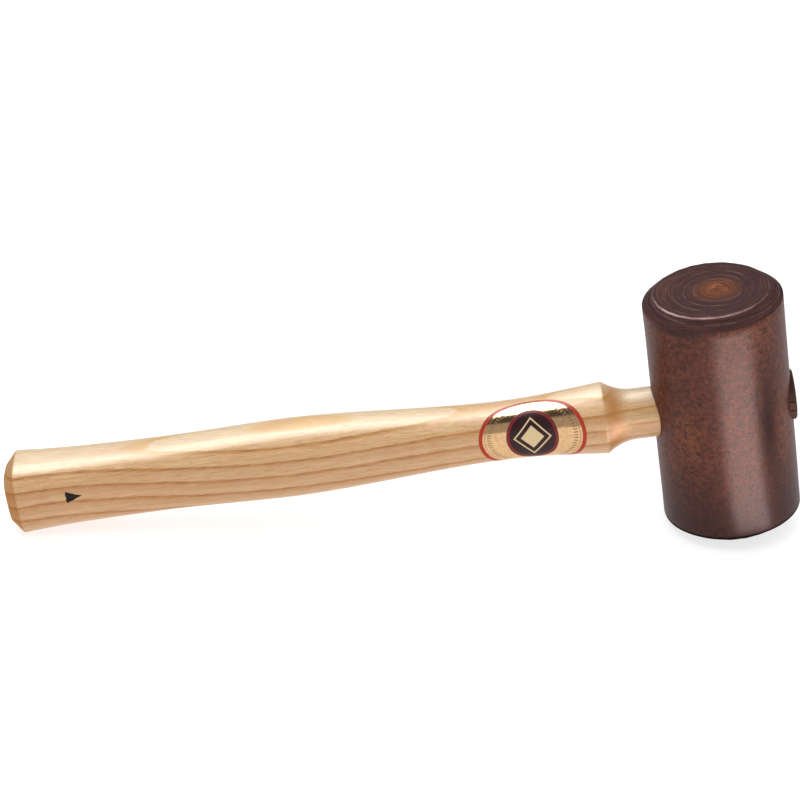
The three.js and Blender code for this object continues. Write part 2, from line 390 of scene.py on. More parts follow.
class Roll:
    """Where the faces of a rolled strip lie, by the number of turns wound so far."""

    def __init__(self, inner, outer, turns, gap, skived):
        self.inner, self.outer, self.turns = inner, outer, turns
        self.gap, self.skived = gap, skived
        self.pitch = (outer - inner - 2 * skived - gap) / (turns - 1)
        self.end_step = 2 * gap / (math.tau * inner)
        self.last_step = 2 * gap / (math.tau * outer)

    def gap_middle(self, turn):
        return self.inner + self.skived + self.gap / 2 + self.pitch * turn

    def inner_face(self, turn):
        bedded = clamp((1 - self.end_step - turn) / self.end_step)
        return mix(self.gap_middle(max(0, turn - 1)) + self.gap / 2, self.inner, bedded)

    def outer_face(self, turn):
        last = self.turns - 1
        filled = clamp((turn - last - self.last_step) / self.last_step)
        return mix(self.gap_middle(min(turn, last)) - self.gap / 2, self.outer, filled)

    def stops(self, step):
        """Turn numbers in even steps along the strip, and one at each corner of its faces."""
        last = self.turns - 1
        places = [0]
        while places[-1] < self.turns:
            radius = self.gap_middle(places[-1])
            places.append(places[-1] + step / (math.tau * radius))
        places[-1] = self.turns
        corners = [1 - 2 * self.end_step, 1 - self.end_step, last + self.last_step,
                   last + 2 * self.last_step]
        return sorted(places + corners)


HIDE = Roll(CORE_RADIUS + GLUE_LINE, HEAD_RADIUS, HIDE_TURNS, HIDE_GAP, HIDE_SKIVED)
CORE = Roll(CORE_EYE, CORE_RADIUS, CORE_TURNS, CORE_GAP, CORE_SKIVED)
print(f"turns of the hide {HIDE.pitch:.2f} mm thick, of the core {CORE.pitch:.2f} mm")

# %% [markdown]
# The outside of the head is one surface that all the turns share: a flat face, a chamfer
# and the side. Python's own noise gives the unevenness, read on a circle so that it joins
# up, and it only ever takes hide away, as a rasp does.

# %% The dressed outside of the head
CHAMFER_RISE = 3.8
CHAMFER_INSET = 5.0
CHAMFER_WANDER = 0.5
CHAMFER_LEAN = 0.45
LEAN_ANGLE = math.radians(-60)
FLAT_DEPTH = 0.25
FACE_ARRIS = 0.5
FLAT_COUNT = 17
FACE_DIP = 0.1
TURN_STEP = 0.12
RIM_WIDTH = 2.0
SIDE_WANDER = 0.14
NOISE_GAIN = 0.7
FLAT_SHIFT = 0.16
FLAT_MEAN = 0.33
INSET_WAVES, RISE_WAVES, DIP_WAVES, SIDE_WAVES, STEP_WAVES = 1.1, 1.3, 2, 1.4, 1.3
DIP_LENGTH, SIDE_LENGTH = 4, 20
TOP_LAYER, BOTTOM_LAYER, SIDE_LAYER = 1, 4, 11
RISE_LAYER, DIP_LAYER = 7, 3


def wander(angle, layer, waves, height=0, length=SIDE_LENGTH):
    """Slow noise from 0 to 1 round the head, and up it where a height is given."""
    around = Vector((math.cos(angle), math.sin(angle), 0)) * waves
    found = noise.noise(around + Vector((0, 0, layer + height / length)))
    return clamp(0.5 + NOISE_GAIN * found)


def flat(angle, count, layer):
    """How far a filed edge lies outside its flats: 0 at their middles, 1 at their corners."""
    shifted = angle + FLAT_SHIFT * math.sin(3 * angle + layer)
    phase = (shifted * count / math.tau) % 1 - 0.5
    return 4 * phase * phase


def face_height(radius, angle, turn, layer):
    """How high the dressed face or chamfer is over the middle of the head."""
    inset = CHAMFER_INSET + CHAMFER_WANDER * (wander(angle, layer, INSET_WAVES) - 0.5)
    inset += CHAMFER_LEAN * math.cos(angle - LEAN_ANGLE)
    inset -= FLAT_DEPTH * (flat(angle, FLAT_COUNT, layer) - FLAT_MEAN)
    uneven = wander(angle, layer + RISE_LAYER, RISE_WAVES) - 0.5
    rise = CHAMFER_RISE + CHAMFER_WANDER * uneven
    dip = FACE_DIP * wander(angle, layer + DIP_LAYER, DIP_WAVES, radius, DIP_LENGTH)
    step = TURN_STEP * clamp(0.5 + noise.noise(Vector((STEP_WAVES * turn, layer, 0))))
    inside = clamp((HEAD_RADIUS - CHAMFER_INSET - radius) / RIM_WIDTH)
    face = FACE_Z - (dip + step) * inside
    chamfer = FACE_Z - rise * (radius - HEAD_RADIUS + inset) / inset
    ease = clamp(1 - abs(face - chamfer) / FACE_ARRIS)
    return min(face, chamfer) - FACE_ARRIS * ease * ease / 4


def side_loss(radius, angle, height):
    """What the dressing took off the side, felt only near the outside."""
    near_side = clamp(radius - HEAD_RADIUS + 1)
    return SIDE_WANDER * wander(angle, SIDE_LAYER, SIDE_WAVES, height) * near_side


rim_height = face_height(HEAD_RADIUS, 0, HIDE_TURNS, TOP_LAYER)
print(f"face {FACE_Z:.1f} mm up, the chamfer's foot at one place {rim_height:.1f} mm")

# %% [markdown]
# Now the strip is wound. The block is divided along its length at the places that the
# roll asks for, across its thickness, and up its width. Points are crowded towards the two
# faces of the strip, where its edge is rounded, so that few divisions are enough there.

# %% Roll up a strip
HEAD_STEP = 1.3
ACROSS_COUNT = 24
CROWDING = 0.5
ARRIS = 0.1
ARRIS_SHARE = 0.4


def roll_up(strip, rows, step):
    """A block, finely divided, whose vertices are carried to their places in the roll."""
    stops = strip.stops(step)
    form = bmesh.new()
    block(form, (0, 0, 0), (1, 1, 1))
    for axis, count in enumerate((len(stops) - 1, ACROSS_COUNT, rows)):
        def runs_along(edge):
            return abs((edge.verts[0].co - edge.verts[1].co)[axis]) > 0.5
        edges = [edge for edge in form.edges if runs_along(edge)]
        bmesh.ops.subdivide_edges(form, edges=edges, cuts=count - 1, use_grid_fill=True)
    for vert in form.verts:
        vert.co = rolled_place(strip, stops, *vert.co)
    bmesh.ops.recalc_face_normals(form, faces=form.faces)
    return form


def rolled_place(strip, stops, along, through, up):
    """Where a point of the flat block, given by its three shares, lies in the roll."""
    turn = stops[round(along * (len(stops) - 1))]
    inner, outer = strip.inner_face(turn), strip.outer_face(turn)
    crowded = through - CROWDING * math.sin(math.tau * through) / math.tau
    radius = mix(inner, outer, crowded)
    arris = min(ARRIS, ARRIS_SHARE * (outer - inner))
    depth = clamp(arris - min(radius - inner, outer - radius), 0, arris)
    edge = arris - math.sqrt(arris * arris - depth * depth)
    turned = (turn + SEAM_TURN) * math.tau
    place = Vector((drift(radius) + radius * math.cos(turned), radius * math.sin(turned)))
    reach, angle = place.length, math.atan2(place.y, place.x)
    top = face_height(reach, angle, turn, TOP_LAYER) - edge
    bottom = face_height(reach, angle, turn, BOTTOM_LAYER) - edge
    height = mix(-bottom, top, up)
    place *= 1 - side_loss(reach, angle, height) / reach
    return Vector((*place, height))


print("steps along the hide", len(HIDE.stops(HEAD_STEP)) - 1)

# %% [markdown]
# ## Hide
#
# Rawhide is skin that was scraped and dried, not tanned, so under its shellac it is
# translucent brown on the outside, with the pores that the hair left, and grey and
# streaky where the rolled edges were cut. Both faces of the strip show on the head, so one
# material tells them apart by place: the outside is where the surface is a full radius
# away from the axis and below the chamfer.
#
# The rings on the end grain follow the roll. The shader works back from a point to the
# turn it lies in, by the same formula that wound the strip: the circle that passes through
# the point and has its middle on the drifting axis.

# %% Patterns that both hides use
DRIFT_SLOPE = CORE_OFFSET / (HEAD_RADIUS - CORE_RADIUS)


def polar(point):
    """Distance from the head's axis, height, and the angle with its jump at the back."""
    x, y, z = split(point)
    radius = point.math("SQRT", x * x + y * y)
    return radius, z, point.math("ARCTAN2", x, -y)


def ring_radius(point):
    """The radius of the turn that a point of the roll lies in, measured before the drift."""
    x, y, _ = split(point)
    shifted = x - DRIFT_SLOPE * HEAD_RADIUS
    square = DRIFT_SLOPE * DRIFT_SLOPE
    whole = (shifted * shifted + y * y) * (1 - square) + shifted * shifted * square
    return (point.math("SQRT", whole) + shifted * DRIFT_SLOPE) / (1 - square)


def turn_share(point, strip, radius):
    """How far a point lies through its turn, 0 at the inner face and 1 at the outer."""
    x, y, _ = split(point)
    middle = (HEAD_RADIUS - radius) * DRIFT_SLOPE
    angle = point.math("ARCTAN2", y, x - middle) / math.tau
    wound = (radius - strip.gap_middle(0)) / strip.pitch
    return (wound - angle + SEAM_TURN).fraction()


def streaks(point, radius, angle, fine, long):
    """Fibres that run round with the turns."""
    _, _, z = split(point)
    sockets = {0: radius * fine, 1: angle * long, 2: z * 0.1}
    return point.add("ShaderNodeCombineXYZ", None, sockets).clouds(1, 4, 0.6)

# %% [markdown]
# The outer roll is built up as it was on the bench, and the skin of the side comes first.
# It is two browns, with three patches where light shines through to amber, one that the dryer
# burnt, painted shade that darkens the lower half, and the pores. Angles are measured from the side
# that faces the camera.

# %% The skin of the side
SIDE_DARK, SIDE_LIGHT = colour(66, 31, 23), colour(112, 57, 41)
AMBER, BURNT, GRAINED = colour(138, 76, 44), colour(38, 18, 16), colour(40, 18, 16)
PAINTED_LOW_SHADE, PORE = colour(44, 20, 18), colour(26, 13, 12)
AMBER_SPOTS = ((-35, 26, 0, 18), (50, 18, -5, 18), (33, 22, 38, 16))
BURNT_SPOT = (35, 17, 0, 40)
PAINTED_LOW_SHADE_FADE = (-8, -40)


def side_skin(point, z, angle, mottle, grain):
    """The colour of the side, with the painted shade on its lower half, where it is burnt and where
    its pores lie.
    """

    def spot(place, width, height, tall):
        """A soft patch: its angle and half width in degrees, its height in mm."""
        return angle.near(math.radians(place), math.radians(width)) * z.near(height, tall)

    patch = point.stretch(1, 1, 0.6).clouds(0.13, 3, 0.6)
    pit = point.add("ShaderNodeTexVoronoi", None, {"Vector": point, "Scale": 1.25})
    pore = pit.rise(0.42, 0.12) * point.clouds(0.9, 2, 0.5).rise(0.36, 0.62)
    side = mottle.rise(0.32, 0.68).blend(SIDE_DARK, SIDE_LIGHT)
    left, right, top = (spot(*place) for place in AMBER_SPOTS)
    amber = left.most(right).most(top) * mottle.rise(0.36, 0.58)
    amber = amber + patch.rise(0.56, 0.74) * 0.5
    side = (amber * 0.6).blend(side, AMBER)
    burnt = spot(*BURNT_SPOT) * patch.rise(0.3, 0.55, 0.5, 1)
    side = (burnt * 0.9).blend(side, BURNT)
    side = (grain.rise(0.44, 0.68) * 0.65).blend(side, GRAINED)
    # Painted shade: the lower half of the side is darkened towards the bottom.
    side = (z.rise(*PAINTED_LOW_SHADE_FADE) * 0.75).blend(side, PAINTED_LOW_SHADE)
    return (pore * 0.6).blend(side, PORE), burnt, pore


print("skin with", len(AMBER_SPOTS), "amber patches and one burnt")

# %% [markdown]
# The knife leaves the cut ends of the turns bare at both faces. They show fibres that run
# round, a raw patch that took no stain, pale glue between the turns, and a warmer brown
# next to the core. The glue isn't everywhere, so its lines are broken.

# %% The cut ends of the turns
CUT_DARK, CUT_LIGHT, LONG_FIBRE = colour(52, 31, 31), colour(86, 56, 54), colour(118, 76, 64)
RAW, GLUE, NEAR_CORE = colour(146, 94, 72), colour(170, 132, 124), colour(118, 72, 54)
RAW_RADIUS, RAW_REACH = 15.5, 5.5
RAW_ANGLE, RAW_SPREAD = math.radians(-100), math.radians(50)
FIRST_TURNS = (18, 11)
NEAR_CORE_FADE = (10.5, 6.5)


def cut_ends(point, radius, angle, fibre, broken):
    """The colour of the cut ends."""
    rolled = ring_radius(point)
    through = turn_share(point, HIDE, rolled)
    long_fibre = streaks(point, radius, angle, 1.0, 0.9)
    cut = fibre.rise(0.3, 0.75).blend(CUT_DARK, CUT_LIGHT)
    cut = (long_fibre.rise(0.5, 0.72) * 0.35).blend(cut, LONG_FIBRE)
    raw = radius.near(RAW_RADIUS, RAW_REACH) * angle.near(RAW_ANGLE, RAW_SPREAD)
    cut = (raw * long_fibre.rise(0.44, 0.64) * 0.5).blend(cut, RAW)
    glue = through.near(0, 0.1).most(through.near(1, 0.1))
    glue = glue * (0.4 + rolled.rise(*FIRST_TURNS) * 0.35) * (0.25 + broken * 0.75)
    cut = glue.blend(cut, GLUE)
    return (rolled.rise(*NEAR_CORE_FADE) * 0.5).blend(cut, NEAR_CORE)


print("cut ends with a raw patch", RAW_RADIUS, "mm from the axis")

# %% [markdown]
# The side and the cut ends meet at the chamfer. The rubbed arris, lightened partly for its wear and
# partly as a painted highlight, the scorched band under it and the foot, darkened nearly to black
# as painted shade, go over both. The shellac is a thin coat that is missing wherever the surface is
# rubbed or rough.

# %% The material of the outer roll
RUBBED_HIGHLIGHT, SCORCHED, FOOT_SHADE = colour(196, 154, 147), colour(44, 26, 23), colour(18, 10, 10)
ARRIS_DEPTH, ARRIS_REACH = 0.42, 0.32
ARRIS_START = (14, 17)
ARRIS_LEFT_END, ARRIS_RIGHT_END = (-1.7, -1.1), (0.9, 0.3)
SIDE_DEPTH = (0.9, 0.45)
SCORCH_DROP = (3.4, 0.8)
SCORCH_ANGLE, SCORCH_SPREAD = -0.6, 0.65
FOOT_SHADE_RISE = (2.1, 1.1)


def make_dark_hide():
    material, point = start_material("shellacked_hide")
    radius, z, angle = polar(point)
    up = z.absolute()
    mottle = point.clouds(0.55, 4, 0.7)
    grain = point.clouds(2.0, 3, 0.6)
    fibre = streaks(point, radius, angle, 3.2, 2.5)
    broken = point.clouds(0.16, 2, 0.5).rise(0.35, 0.62)
    side, burnt, pore = side_skin(point, z, angle, mottle, grain)
    cut = cut_ends(point, radius, angle, fibre, broken)
    # Painted highlight: the arris is lightened, partly for its rubbed wear and partly for the shine
    # of its rounded edge.
    arris = up.near(FACE_Z - ARRIS_DEPTH, ARRIS_REACH) * radius.rise(*ARRIS_START)
    arris = arris * broken.rise(0, 1, 0.6, 1)
    arris = arris * angle.rise(*ARRIS_LEFT_END, 0.15, 1) * angle.rise(*ARRIS_RIGHT_END, 0.12, 1)
    speckle = grain.rise(0.38, 0.58, 0.4, 1)
    cut = (arris * speckle).blend(cut, RUBBED_HIGHLIGHT)
    outside = radius.rise(*(HEAD_RADIUS - depth for depth in SIDE_DEPTH))
    foot = FACE_Z - CHAMFER_RISE
    below = (up + fibre * 0.5).rise(foot + 0.5, foot)
    skin = outside * below
    base = skin.blend(cut, side)
    scorched = z.rise(*(foot - drop for drop in SCORCH_DROP))
    scorched = skin * scorched * angle.near(SCORCH_ANGLE, SCORCH_SPREAD)
    base = (scorched * 0.85).blend(base, SCORCHED)
    # Painted shade: the foot of the side and the lower chamfer are darkened nearly to black.
    foot_shade = (z + grain * 1.6).rise(*(rise - foot for rise in FOOT_SHADE_RISE))
    base = (foot_shade * 0.95).blend(base, FOOT_SHADE)

    rough = skin * (mottle * 0.1 - 0.25) * (1 - foot_shade) - arris * 0.3 + 0.78
    rough = rough + foot_shade * 0.2
    height = skin * (grain * 0.6 + mottle * 0.7 - pore * 1.4) + (1 - skin) * (fibre * 1.6)
    coat = (skin * (0.3 - pore * 0.18 - burnt * 0.18)).most(arris * 0.5) * (1 - foot_shade)
    return finish_material(material, base, rough, height, 0.07, **{
        "Specular IOR Level": 0.06, "Coat Weight": coat, "Coat Roughness": 0.3})


dark_hide = make_dark_hide()

# %% [markdown]
# The core is a lighter hide, and shellac soaks into its end grain until it glows orange in
# the middle. Its fibres run round its own middle, so the point is shifted by the core's
# offset before its angle and its distance from the axis are read.

# %% The material of the core
CORE_DARK, CORE_LIGHT = colour(86, 46, 33), colour(146, 86, 54)
CORE_BLOTCH, CORE_RIM = colour(170, 100, 58), colour(102, 60, 47)
CORE_RIM_FADE = (2.8, 6.2)


def make_core_hide():
    material, point = start_material("core_hide")
    x, y, z = split(point)
    shifted = point.add("ShaderNodeCombineXYZ", None, {0: x - CORE_OFFSET, 1: y, 2: z})
    radius, _, angle = polar(shifted)
    fibre = streaks(shifted, radius, angle, 2.4, 1.3)
    blotch = point.clouds(0.3, 3, 0.5)
    base = fibre.rise(0.34, 0.66).blend(CORE_DARK, CORE_LIGHT)
    base = (blotch.rise(0.5, 0.7) * 0.5).blend(base, CORE_BLOTCH)
    base = (radius.rise(*CORE_RIM_FADE) * 0.8).blend(base, CORE_RIM)
    return finish_material(material, base, fibre * 0.2 + 0.65, fibre, 0.1, **{
        "Specular IOR Level": 0.06})


core_hide = make_core_hide()

# %% [markdown]
# The head is bored after it is rolled, straight across, for the handle's tenon. The bore
# is wider than the core, so it leaves the core in two lengths. Rolling the whole core and
# cutting it leaves both with ends that fit the bore, just as on the real head.

# %% Roll, bore and set down the head
TENON_RADIUS = 9.2
BORE_CLEARANCE = 0.12
BORE_SIDES = 96
OVERRUN = 3
HIDE_ROWS = 28
CORE_ROWS = 6


def bore():
    reach = HEAD_RADIUS + OVERRUN
    return rod(TENON_RADIUS + BORE_CLEARANCE, -reach, reach, BORE_SIDES)


def half_space(sign):
    """Everything above the handle, or below it."""
    form = bmesh.new()
    ends = sorted((0, sign * (FACE_Z + OVERRUN)))
    reach = HEAD_RADIUS + OVERRUN
    block(form, (-reach, -reach, ends[0]), (reach, reach, ends[1]))
    return form


hide_form = carve(roll_up(HIDE, HIDE_ROWS, HEAD_STEP), bore())
set_down("rolled_hide", hide_form, dark_hide, "dark_hide", "hide_roll")
for name, sign in (("core_upper", 1), ("core_lower", -1)):
    core_form = carve(roll_up(CORE, CORE_ROWS, HEAD_STEP / 2), bore())
    core_form = carve(core_form, half_space(sign), "INTERSECT")
    set_down(f"rolled_{name}", core_form, core_hide, "core_hide", name)

# %% [markdown]
# ## The handle's wood
#
# Ash grows a band of wide pores each spring and dense pale wood after it, so its rings
# show as brown lines that start sharply and fade. Painting lines on the surface would
# never turn into the pointed figures that a carver sees where the handle swells. So the
# rings are a solid pattern: circles round the middle of the tree, which here lay above the
# handle, and the handle's own surface cuts them into straight lines at the sides and long
# tongues on top. The tree wasn't straight, so the rings sink towards the swell and rise
# again before the shoulder.

# %% The growth rings of the ash
RING_SPACING = 5.45
PITH_HEIGHT = 41.6
FIRST_RING = 27.3
SAG_MIDDLE = -157.0
SAG_TO_BUTT = 93.0
SAG_TO_HEAD = 109.0
BUTT_SAG = 6.5
HEAD_SAG = 2.3
SLOW_SWAY, QUICK_SWAY, RAGGED = 2.4, 0.5, 0.5


def ring_share(point):
    """How far into its year the wood is, from 0 in spring to 1."""
    x, y, z = split(point)
    sag = x.rise(SAG_MIDDLE, SAG_MIDDLE - SAG_TO_BUTT, 0, BUTT_SAG)
    sag = sag + x.rise(SAG_MIDDLE, SAG_MIDDLE + SAG_TO_HEAD, 0, HEAD_SAG)
    slow = point.stretch(0.02, 0.06, 0.06).clouds(1, 2, 0.5) * SLOW_SWAY - SLOW_SWAY / 2
    quick = point.stretch(0.09, 0.3, 0.3).clouds(1, 2, 0.5) * QUICK_SWAY - QUICK_SWAY / 2
    quick = quick + point.stretch(0.7, 2, 2).clouds(1, 2, 0.6) * RAGGED
    up = z - sag - PITH_HEIGHT
    from_pith = point.math("SQRT", y * y + up * up) + slow + quick
    return ((from_pith - FIRST_RING) / RING_SPACING).fraction()


def stained(point):
    """Where the head's shellac has run over the wood, at the tenon's far end."""
    x, y, _ = split(point)
    from_axis = point.math("SQRT", x * x + y * y) + point.clouds(0.5, 2, 0.5) * 0.6
    return from_axis.rise(HEAD_RADIUS - 0.5, HEAD_RADIUS + 0.1) * x.rise(0, 1)


print(f"rings {RING_SPACING} mm apart, their middle {PITH_HEIGHT} mm above the handle")

# %% [markdown]
# Over the rings lie the finer things. Each ring starts with a row of open pores, drawn out along
# the handle because a pore is a long tube that the surface cuts at a slant. The wood between is
# streaked by fibres and flecked. The top of the handle is creamier, partly its own colour and
# partly painted highlight, the slope towards the camera is lightened as painted light, the pointed
# figure on top has an orange heart, the hollow before the head is darker and more orange, and the
# cut end holds more of the varnish. The varnish is a coat with a soft shine, which stops at the cut
# end and where the head's shellac has run.

# %% The material of the handle
ASH_PALE, ASH_TAN = colour(209, 165, 119), colour(200, 151, 103)
LATE_WOOD, SPRING_WOOD = colour(228, 187, 140), colour(212, 148, 74)
TOP_CREAM_AND_HIGHLIGHT, LIT_SLOPE = colour(217, 190, 136), colour(240, 197, 147)
FIBRE, FLECK, VESSEL = colour(188, 134, 80), colour(178, 122, 60), colour(158, 104, 48)
SPRING_PORE, RING_LINE = colour(186, 116, 40), colour(164, 100, 36)
HEART_ORANGE, HOLLOW_AMBER = colour(204, 150, 6), colour(190, 122, 44)
END_GRAIN, SHELLAC_RUN = colour(170, 108, 54), colour(56, 31, 25)
SHINE_TINT = (1, 0.96, 0.84, 1)
LINE_FADE = (5, 11)
TOP_HALF_WIDTH = (10.5, 6.5)
LIT_SLOPE_ANGLE, LIT_SLOPE_SPREAD = math.radians(50), math.radians(27)
HEART_X = -152.0
HEART_SIZE = (20.0, 4.6)
END_LENGTH = (5.2, 4.4)
HOLLOW_X, HOLLOW_REACH = -39, 5


def make_ash():
    material, point = start_material("ash")
    x, y, z = split(point)
    year = ring_share(point)
    sharp = year.rise(0.0, 0.04)
    spring = year.rise(0.42, 0.0) * sharp
    line = year.rise(0.3, 0.1) * sharp * y.absolute().rise(*LINE_FADE, 0.2, 1)
    fibre = point.stretch(0.035, 1.5, 1.5).clouds(1, 5, 0.65)
    hair = point.stretch(0.12, 5.5, 5.5).clouds(1, 3, 0.6)
    fleck = point.stretch(0.18, 1.9, 1.9).clouds(1, 3, 0.7)
    vessel = point.stretch(0.16, 3.4, 3.4).clouds(1, 2, 0.5).rise(0.46, 0.62)
    warm = point.stretch(0.018, 0.11, 0.11).clouds(1, 2, 0.5)
    on_top = y.absolute().rise(*TOP_HALF_WIDTH) * z.rise(0, 1)
    lit_slope = point.math("ARCTAN2", z, -y).near(LIT_SLOPE_ANGLE, LIT_SLOPE_SPREAD)

    base = warm.rise(0.3, 0.7).blend(ASH_PALE, ASH_TAN)
    base = (year.rise(0.35, 0.9) * 0.5).blend(base, LATE_WOOD)
    # Partly the wood's own paler top, partly painted highlight: the top is shifted towards cream.
    base = (on_top * 0.8).blend(base, TOP_CREAM_AND_HIGHLIGHT)
    # Painted light: the slope towards the camera is lightened.
    base = (lit_slope * 0.8).blend(base, LIT_SLOPE)
    base = (fibre.rise(0.35, 0.75) * 0.5).blend(base, FIBRE)
    base = (spring * (0.3 + fibre * 0.6)).blend(base, SPRING_WOOD)
    along, beside = (x - HEART_X) / HEART_SIZE[0], y / HEART_SIZE[1]
    heart = (along * along + beside * beside + fleck * 0.6).rise(1.6, 0.8)
    orange = heart.most(year.rise(0.2, 0.04) * sharp * on_top) * z.rise(0, 1)
    base = (orange * (0.7 + fleck * 0.5)).blend(base, HEART_ORANGE)
    base = (fleck.rise(0.46, 0.66) * 0.4).blend(base, FLECK)
    base = (spring * vessel * hair * 0.6).blend(base, SPRING_PORE)
    base = (line * (0.3 + warm * 0.3 + vessel * 0.5)).blend(base, RING_LINE)
    slits = vessel * hair.rise(0.45, 0.7)
    base = (slits * (0.45 + on_top * 0.25)).blend(base, VESSEL)
    cut_end = (x - BUTT_X).rise(*END_LENGTH)
    base = (cut_end * 0.5).blend(base, END_GRAIN)
    # The hollow before the head is made darker and more orange.
    base = (x.near(HOLLOW_X, HOLLOW_REACH) * 0.8).blend(base, HOLLOW_AMBER)
    dipped = stained(point)
    base = dipped.blend(base, SHELLAC_RUN)

    rough = spring * 0.08 + fibre * 0.1 + dipped * 0.2 + cut_end * 0.3 + 0.6
    height = fibre * 0.35 + fleck * 0.3 - line * vessel * 0.7
    return finish_material(material, base, rough, height, 0.04, **{
        "Specular IOR Level": 0.3, "Specular Tint": SHINE_TINT,
        "Coat Weight": (1 - dipped) * (1 - cut_end), "Coat Roughness": 0.37})


ash = make_ash()

# %% [markdown]
# ## The handle's shape
#
# The handle is turned round at the tenon, and shaved to an oval for the hand, fullest at
# the swell. A boat builder would give its lines as sections, so the mesh is made that way:
# one ring, extruded again and again, and each new ring drawn out to the next section. A
# station gives the depth and the width of its section, and its squareness, from 0 for an
# oval towards 1 for a box.

# %% Stations along the handle, in millimetres from the head's axis
NECK_END = -32.0
SHOULDER = -42.5
WAIST = -80.0
SWELL = -157.0
GRIP = -203.0
BUTT = -257.0
STATIONS = {
    SHOULDER: (25.5, 25.5, 0.09),
    WAIST: (20.4, 19.2, 0.23),
    SWELL: (27.2, 23.2, 0.33),
    GRIP: (25.2, 22.4, 0.33),
    BUTT: (27.2, 25.8, 0.41),
}
print(len(STATIONS), "stations from the shoulder at", SHOULDER, "to the butt at", BUTT)

# %% [markdown]
# Between two stations the depth and the width bend on cubic curves, as in the construction
# model. They lie level at the waist, the swell and the grip, and slope at the shoulder and
# the butt. The hollow before the shoulder is an arc of a circle, and the neck before it is
# round.

# %% The sections between the stations
SHOULDER_SLOPE = -0.105
BUTT_SLOPE = 0.067


def eased(start, end, share, run, start_slope, end_slope):
    """A cubic curve from start to end with the given slopes, as rise over run."""
    first = start + 2 * run / 3 * start_slope
    second = end - 2 * run / 3 * end_slope
    rest = 1 - share
    bent = 3 * rest ** 2 * share * first + 3 * rest * share ** 2 * second
    return rest ** 3 * start + bent + share ** 3 * end


def shaft_section(x):
    """Depth, width and squareness of the shaved part at a place along it."""
    places = sorted(STATIONS, reverse=True)
    after = next((i for i, place in enumerate(places) if place <= x), len(places) - 1)
    start, end = places[max(0, after - 1)], places[max(1, after)]
    share = clamp((start - x) / (start - end))
    slopes = (SHOULDER_SLOPE if start == SHOULDER else 0, BUTT_SLOPE if end == BUTT else 0)
    *start_sizes, start_square = STATIONS[start]
    *end_sizes, end_square = STATIONS[end]
    sizes = [eased(a, b, share, start - end, *slopes) for a, b in zip(start_sizes, end_sizes)]
    return (*sizes, mix(start_square, end_square, share))


def cove_section(x):
    """The hollow before the shoulder, an arc that leaves the neck flush."""
    run, rise = NECK_END - SHOULDER, STATIONS[SHOULDER][0] / 2 - TENON_RADIUS
    sweep = (run * run + rise * rise) / (2 * rise)
    along = NECK_END - x
    radius = TENON_RADIUS + sweep - math.sqrt(sweep * sweep - along * along)
    return (2 * radius, 2 * radius, STATIONS[SHOULDER][2] * along / run)


def reach(section, angle):
    """How far a section reaches in a direction, from an oval to nearly a box."""
    depth, width, square = section
    power = 2 / (1 - square)
    across = abs(2 * math.cos(angle) / width) ** power
    upright = abs(2 * math.sin(angle) / depth) ** power
    return (across + upright) ** (-1 / power)


for name, place in (("waist", WAIST), ("swell", SWELL), ("grip", GRIP)):
    print(name, [round(size, 2) for size in shaft_section(place)])

# %% [markdown]
# The ring will be drawn out from the tenon's end to the butt: straight along the tenon and
# the neck, in small steps through the hollow, in even steps along the shaft, and then in
# over the chamfer and the low dome of the butt.

# %% The sections from end to end
TENON_PROUD = 0.9
TENON_EASE = 0.6
NECK_STEP, COVE_STEP, SHAFT_STEP = 6, 0.75, 2.5
BUTT_INSET = 4.3
BUTT_DOME = 0.5
BUTT_SHARES = (1, 0.66, 0.33)
tenon_end = HEAD_RADIUS + TENON_PROUD


def places_between(start, end, step):
    """Even places from start to end, without the start."""
    count = max(1, round(abs(end - start) / step))
    return [mix(start, end, i / count) for i in range(1, count + 1)]


def round_section(radius):
    return (2 * radius, 2 * radius, 0)


def handle_outline():
    """Each place along the handle with its section, from the tenon's end to the butt."""
    eased_end = tenon_end - TENON_EASE
    tenon = round_section(TENON_RADIUS)
    outline = [(tenon_end, round_section(TENON_RADIUS - TENON_EASE)), (eased_end, tenon)]
    outline += [(x, tenon) for x in places_between(eased_end, NECK_END, NECK_STEP)]
    outline += [(x, cove_section(x)) for x in places_between(NECK_END, SHOULDER, COVE_STEP)]
    outline += [(x, shaft_section(x)) for x in places_between(SHOULDER, BUTT, SHAFT_STEP)]
    depth, width, square = STATIONS[BUTT]
    for share in BUTT_SHARES:
        inset = 2 * BUTT_INSET + (1 - share) * (depth - 2 * BUTT_INSET)
        section = (depth - inset, width - inset, square * share)
        outline.append((BUTT_X + BUTT_DOME * share ** 2, section))
    return outline


sections = handle_outline()
print(len(sections), "sections from the tenon's end to the butt")

# %% [markdown]
# Now the ring is extruded from each section to the next, and its last edges are filled. The
# edge of the shoulder and those of the butt are bevelled a little, since glasspaper takes
# every sharp edge off.

# %% Draw out the handle
HANDLE_SIDES = 96
EDGE_EASE = 0.45


def draw_out(outline, sides):
    """A closed ring, extruded from section to section, and closed at the far end."""
    form = bmesh.new()
    flat_on_x = Matrix.Rotation(math.pi / 2, 4, "Y")
    ring = bmesh.ops.create_circle(form, cap_ends=True, segments=sides, radius=1,
                                   matrix=flat_on_x)["verts"]
    edges = list(form.edges)
    for index, (x, section) in enumerate(outline):
        if index:
            grown = bmesh.ops.extrude_edge_only(form, edges=edges)["geom"]
            ring = {item for item in grown if isinstance(item, bmesh.types.BMVert)}
            edges = [item for item in grown if isinstance(item, bmesh.types.BMEdge)
                     and all(vert in ring for vert in item.verts)]
        for vert in ring:
            angle = math.atan2(vert.co.z, vert.co.y)
            far = reach(section, angle)
            vert.co = Vector((x, far * math.cos(angle), far * math.sin(angle)))
    bmesh.ops.edgeloop_fill(form, edges=edges)
    bmesh.ops.recalc_face_normals(form, faces=form.faces)
    return form


